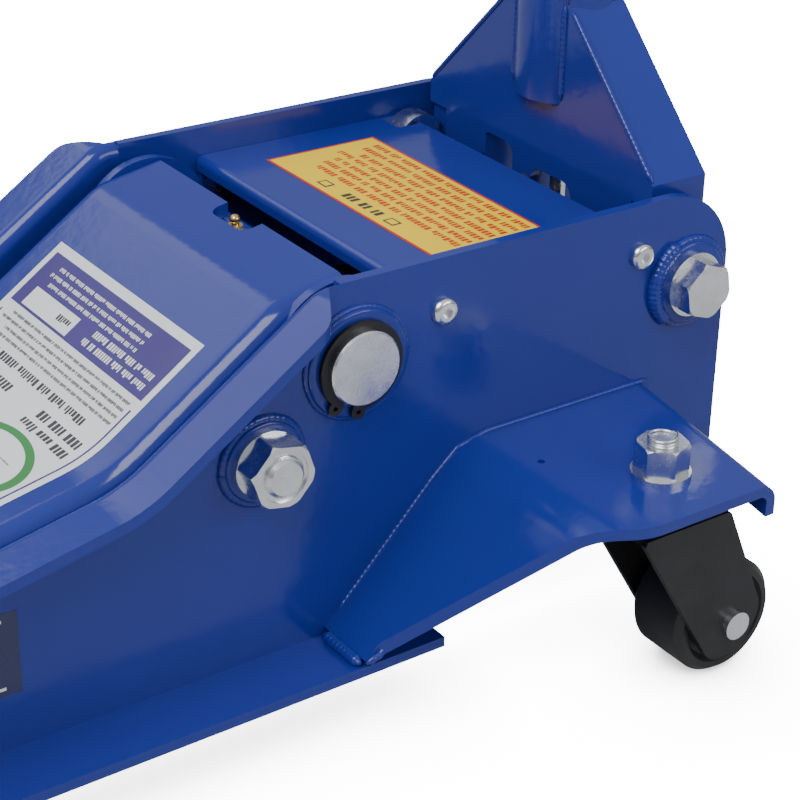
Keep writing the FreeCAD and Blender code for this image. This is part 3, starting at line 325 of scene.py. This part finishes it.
yoke_beads = []
for side in (-1, 1):
    yoke_beads.append(bead([at(149.6, side * 76.8, 37.0), at(149.6, side * 20.0, 93.8)], 0.0014, seed=3))
    yoke_beads.append(bead([at(149.0, side * 18.0, 96), at(148.6, side * 17.0, 123)], 0.0014, seed=5))
    yoke_beads.append(bead([at(149.0, side * 16.2, 54), at(149.0, side * 16.2, 95)], 0.0016, seed=7))
yoke_beads.append(bead([at(148.9, y_at, 52.2) for y_at in (-15, -7, 0, 7, 15)], 0.0016, seed=8))
yoke_welds = joined("yoke_welds", yoke_beads, [MATERIALS["blue_paint"]])
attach(yoke_welds, "yoke")


# ---- printed labels, with bars in place of any lettering ------------------------------------
TREES = {}
OVAL_STEPS = 72
PRINT_LIFT, PRINT_STEP = 0.00010, 0.00005  # metres off the surface, and between layers


def surface_point(node_name, origin, direction):
    """Where a ray meets a CAD node, with the normal there."""
    if node_name not in TREES:
        mesh = NODES[node_name].data
        corners = [v.co for v in mesh.vertices]
        TREES[node_name] = BVHTree.FromPolygons(corners, [p.vertices for p in mesh.polygons])
    hit, normal, _, _ = TREES[node_name].ray_cast(origin, direction)
    return hit, normal


def label(name, node_name, body, place, patches, step=3.0):
    """Thin printed patches on a CAD surface. place(u, v) gives a ray's (origin, direction);
    each patch is (u0, u1, v0, v1, layer, print name), in millimetres. A name with an oval
    after it, (centre u, centre v, stretch), makes u an angle in degrees and v a radius."""
    used = sorted({p[5] for p in patches})
    verts, faces, indices = [], [], []
    for u0, u1, v0, v1, layer, print_name, *oval in patches:
        nu = OVAL_STEPS if oval else max(1, math.ceil(abs(u1 - u0) / step))
        nv = max(1, math.ceil(abs(v1 - v0) / step))
        base = len(verts)
        for i in range(nu + 1):
            for j in range(nv + 1):
                u, v = u0 + (u1 - u0) * i / nu, v0 + (v1 - v0) * j / nv
                for centre_u, centre_v, stretch in oval:
                    turn = math.radians(u)
                    u, v = centre_u + v * math.cos(turn), centre_v + v * stretch * math.sin(turn)
                origin, direction = place(u, v)
                hit, normal = surface_point(node_name, origin, direction)
                if hit is None:
                    hit, normal = origin, -direction
                if normal.dot(direction) > 0:
                    normal = -normal
                verts.append(hit + normal * (PRINT_LIFT + PRINT_STEP * layer))
        for i in range(nu):
            for j in range(nv):
                a = base + i * (nv + 1) + j
                faces.append((a, a + 1, a + nv + 2, a + nv + 1))
                indices.append(used.index(print_name))
    made = mesh_object(name, verts, faces, [PRINTS[n] for n in used], indices)
    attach(made, body)
    return made


def from_above(u, v):
    return at(u, v, 60), Vector((0, 0, -1))


def text_bars(u0, u1, v0, v1, rows, layer, print_name, seed, ragged=0.35, tall=0.52):
    """Rows of tiny bars in groups, standing in for lines of print."""
    rng = random.Random(seed)
    bars = []
    pitch = (u1 - u0) / rows
    height = pitch * tall
    for row in range(rows):
        start = u0 + pitch * (row + 0.5) - height / 2
        v = v0
        finish = v1 - (v1 - v0) * rng.uniform(0, ragged)
        while v < finish:
            for _ in range(rng.randint(2, 8)):
                wide = height * rng.uniform(0.34, 0.62)
                if v + wide > finish:
                    break
                low = rng.choice((0.0, 0.0, 0.25))
                bars.append((start + height * low, start + height, v, v + wide, layer, print_name))
                v += wide + height * 0.22
            v += height * 0.55
    return bars


cover_patches = [
    (52, 107, -62, 62, 0, "print_red"),
    (53.2, 105.8, -60.8, 60.8, 1, "print_yellow"),
]
cover_patches += text_bars(54.4, 63.4, -15, 17, 1, 2, "print_grey", 4, 0.0, 0.5)
for start, end in ((-27, -20), (22, 29)):
    cover_patches.append((56.2, 61.2, start, end, 2, "print_grey"))
    cover_patches.append((57.0, 60.4, start + 1, end - 1, 3, "print_yellow"))
cover_patches += text_bars(64.0, 104.5, -57, 57, 7, 2, "print_red", 2, 0.10, 0.56)
label("cover_label", "cover_plate", "frame", from_above, cover_patches)

ARM_LABEL_END = -250.0
arm_patches = [
    (ARM_LABEL_END, -47, -57, 57, 0, "print_white"),
    (-72, -50.5, -53.5, 53.5, 1, "print_purple"),
    (-71, -63.5, 9, 46, 2, "print_white"),
    (ARM_LABEL_END + 4, -76, -53.5, -52.5, 1, "print_purple"),
    (ARM_LABEL_END + 4, -76, 52.5, 53.5, 1, "print_purple"),
    (ARM_LABEL_END + 4, ARM_LABEL_END + 5, -53.5, 53.5, 1, "print_purple"),
]
arm_patches += text_bars(-70, -64.5, 12, 22, 1, 3, "print_grey", 5, 0.0, 0.42)
arm_patches += text_bars(-62.5, -53, -30, 49, 3, 3, "print_white", 15, 0.1, 0.46)
arm_patches += text_bars(-70.5, -62.5, -49, 2, 2, 3, "print_white", 16, 0.1, 0.6)
arm_patches += text_bars(-84.5, -73.5, -50, 50, 4, 1, "print_grey", 14, 0.1, 0.38)
arm_patches += text_bars(-90.5, -85.5, -38, 38, 1, 1, "print_grey", 21, 0.0, 0.6)
arm_patches += text_bars(-111, -92, 8, 49, 3, 1, "print_grey", 6, 0.3, 0.56)
arm_patches += text_bars(-103.5, -92, -48, -4, 2, 1, "print_grey", 9, 0.3, 0.62)
arm_patches.append((0, 360, 14.5, 17.5, 1, "print_green", (-122, -22, 1.60)))
arm_patches += text_bars(-129, -115, -36, -8, 3, 1, "print_grey", 18, 0.2, 0.14)
arm_patches += text_bars(-160, -143, -50, 20, 3, 1, "print_grey", 23, 0.3, 0.5)
arm_patches += text_bars(-198, -164, -50, 49, 7, 1, "print_grey", 7)
arm_patches += text_bars(-240, -202, -48, 46, 8, 1, "print_grey", 8)
label("arm_label", "lift_arm", "lift_arm", from_above, arm_patches, step=2.5)

for side, side_name in ((-1, "left"), (1, "right")):
    def from_side(u, v, side=side):
        return at(u, side * 150, v), Vector((0, -side, 0))

    decal = [(-330, -140, -92, -58, 0, "print_navy"), (-324, -146, -89.5, -88.2, 1, "print_white"),
             (-324, -146, -61.8, -60.5, 1, "print_white")]
    label(f"side_decal_{side_name}", f"side_plate_{side_name}", "frame", from_side, decal, step=8.0)

# ---- handle grip ribs -----------------------------------------------------------------------
ribs = []
RIB_COUNT, RIB_PITCH, RIB_FOOT, HANDLE_X = 22, 5.0, 742, 163
for i in range(RIB_COUNT):
    ring = circle(at(HANDLE_X, 0, RIB_FOOT + i * RIB_PITCH), 20.0, "z", 40)
    ribs.append(swept(ring, [0.0011] * len(ring), 6, True))
grip_ribs = joined("grip_ribs", ribs, [MATERIALS["grip_rubber"]])
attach(grip_ribs, "handle")


# ---- stage, light and camera ----------------------------------------------------------------
def paper(tree, shader, white, shade_width):
    """The camera sees bright paper with a soft contact shadow; other rays see the grey shader."""
    path = tree.nodes.new("ShaderNodeLightPath")
    glow = tree.nodes.new("ShaderNodeEmission")
    glow.inputs["Strength"].default_value = white
    shade = tree.nodes.new("ShaderNodeAmbientOcclusion")
    shade.inputs["Distance"].default_value = shade_width
    shade.samples = 8
    tint = tree.nodes.new("ShaderNodeMapRange")
    tint.inputs["To Min"].default_value = 0.06
    tint.inputs["From Min"].default_value = 0.25
    tree.links.new(shade.outputs["AO"], tint.inputs["Value"])
    tree.links.new(tint.outputs[0], glow.inputs["Color"])
    choice = tree.nodes.new("ShaderNodeMixShader")
    tree.links.new(path.outputs["Is Camera Ray"], choice.inputs["Fac"])
    tree.links.new(shader.outputs[0], choice.inputs[1])
    tree.links.new(glow.outputs[0], choice.inputs[2])
    tree.links.new(choice.outputs[0], tree.nodes["Material Output"].inputs["Surface"])


PAPER_WHITE = 16.0
SHADE_WIDTH = 0.06
floor_material = node_material("floor_paper", (0.50, 0.50, 0.51), roughness=0.7, mottle=0.01,
                               mottle_size=0.5)
floor_tree = floor_material.node_tree
paper(floor_tree, floor_tree.nodes["Principled BSDF"], PAPER_WHITE, SHADE_WIDTH)
floor_corners = [(-6, -6, 0), (6, -6, 0), (6, 6, 0), (-6, 6, 0)]
floor = mesh_object("floor", floor_corners, [(0, 1, 2, 3)], [floor_material])


def area_light(name, place, target, power, size, size_y):
    data = bpy.data.lights.new(name, "AREA")
    data.shape = "RECTANGLE"
    data.size, data.size_y = size, size_y
    data.energy = power
    lamp = bpy.data.objects.new(name, data)
    lamp.location = place
    lamp.rotation_euler = (Vector(target) - Vector(place)).to_track_quat("-Z", "Y").to_euler()
    bpy.context.scene.collection.objects.link(lamp)


area_light("back_box", (-0.45, 1.25, 1.35), (0.0, 0, 0.1), 4, 1.3, 0.8)
area_light("top_box", (-0.9, -0.5, 1.6), (0.05, 0, 0.1), 25, 1.2, 1.0)
area_light("front_box", (0.9, -1.5, 0.9), (0.1, 0, 0.1), 9, 1.2, 0.7)

world = bpy.data.worlds.new("studio")
world.use_nodes = True
bpy.context.scene.world = world
wires = world.node_tree
room = wires.nodes["Background"]
sky_place = wires.nodes.new("ShaderNodeTexCoord")
sky_split = wires.nodes.new("ShaderNodeSeparateXYZ")
sky_mix = wires.nodes.new("ShaderNodeMix")
sky_mix.data_type = "RGBA"
ROOM_LOW, ROOM_HIGH = (0.20, 0.21, 0.23, 1), (0.75, 0.78, 0.82, 1)
sky_mix.inputs["A"].default_value = ROOM_LOW
sky_mix.inputs["B"].default_value = ROOM_HIGH
wires.links.new(sky_place.outputs["Generated"], sky_split.inputs[0])
wires.links.new(sky_split.outputs["Z"], sky_mix.inputs["Factor"])
wires.links.new(sky_mix.outputs["Result"], room.inputs["Color"])
bright = wires.nodes.new("ShaderNodeBackground")
bright.inputs["Strength"].default_value = PAPER_WHITE
seen = wires.nodes.new("ShaderNodeLightPath")
choose = wires.nodes.new("ShaderNodeMixShader")
wires.links.new(seen.outputs["Is Camera Ray"], choose.inputs["Fac"])
wires.links.new(room.outputs[0], choose.inputs[1])
wires.links.new(bright.outputs[0], choose.inputs[2])
wires.links.new(choose.outputs[0], wires.nodes["World Output"].inputs["Surface"])

AZ, EL, ROLL = math.radians(39.35), math.radians(27.18), math.radians(-2.97)
forward = Vector((math.sin(AZ) * math.cos(EL), math.cos(AZ) * math.cos(EL), -math.sin(EL)))
right = Vector((math.cos(AZ), -math.sin(AZ), 0))
down = Vector((-math.sin(AZ) * math.sin(EL), -math.cos(AZ) * math.sin(EL), -math.cos(EL)))
c, s = math.cos(ROLL), math.sin(ROLL)
right_rolled = right * c + down * s
down_rolled = down * c - right * s
turn = Matrix((right_rolled, -down_rolled, -forward)).transposed()
LENS_MM, SENSOR_MM, SHIFT_X = 95.22, 36, -0.175
CAMERA_PLACE = (-0.2581, -0.6727, 0.4888)
lens = bpy.data.cameras.new("camera")
lens.sensor_width = SENSOR_MM
lens.lens = LENS_MM
lens.shift_x = SHIFT_X
lens.clip_start = 0.01
camera = bpy.data.objects.new("camera", lens)
camera.matrix_world = Matrix.Translation(CAMERA_PLACE) @ turn.to_4x4()
bpy.context.scene.collection.objects.link(camera)
bpy.context.scene.camera = camera
